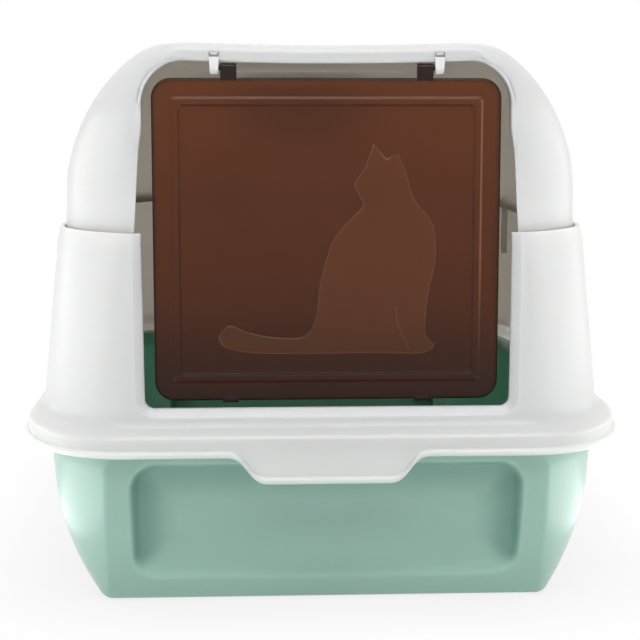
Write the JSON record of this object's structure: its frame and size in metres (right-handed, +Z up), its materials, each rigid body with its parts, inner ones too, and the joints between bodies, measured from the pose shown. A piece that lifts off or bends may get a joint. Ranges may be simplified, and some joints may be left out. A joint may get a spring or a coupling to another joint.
{
  "type": "hooded litter box",
  "caption": "Hooded cat litter box: deep flared tray, lift-off two-part hood whose top folds open at the back, see-through swing flap and slide-in odour filter.",
  "frame": {"origin": "middle of the tray's underside, on the floor", "axes": "+Z up, -Y out of the doorway, +X to the right when facing the doorway"},
  "size_m": [0.4076, 0.5466, 0.3655],
  "materials": {
    "mint_plastic": "satin moulded polypropylene",
    "white_plastic": "satin moulded polypropylene",
    "brown_clear_plastic": "glossy, smoky brown, see-through",
    "natural_plastic": "satin, slightly milky",
    "filter_felt": "matt carbon felt"
  },
  "bodies": {
    "tray": {"litter_tray": "mint_plastic"},
    "hood": {"hood_base": "white_plastic", "rear_hinge_pin_left": "natural_plastic", "rear_hinge_pin_right": "natural_plastic"},
    "top": {"hood_top": "white_plastic", "hinge_clip_left": "natural_plastic", "hinge_clip_right": "natural_plastic", "filter_pad": "filter_felt"},
    "door": {"flap_door": "brown_clear_plastic"},
    "cover": {"filter_cover": "white_plastic"}
  },
  "joints": [
    {"name": "hood_lift", "type": "slide", "parent": "tray", "child": "hood", "axis": [0, 0, 1], "range_m": [0, 0.12]},
    {"name": "top_fold", "type": "hinge", "parent": "hood", "child": "top", "pos_m": [0, 0.258, 0.25], "axis": [-1, 0, 0], "range_deg": [0, 95]},
    {"name": "door_swing", "type": "hinge", "parent": "top", "child": "door", "pos_m": [0, -0.2405, 0.3474], "axis": [1, 0, 0], "range_deg": [-80, 80]},
    {"name": "filter_slide", "type": "slide", "parent": "top", "child": "cover", "axis": [0, 0, 1], "range_m": [0, 0.045]}
  ]
}
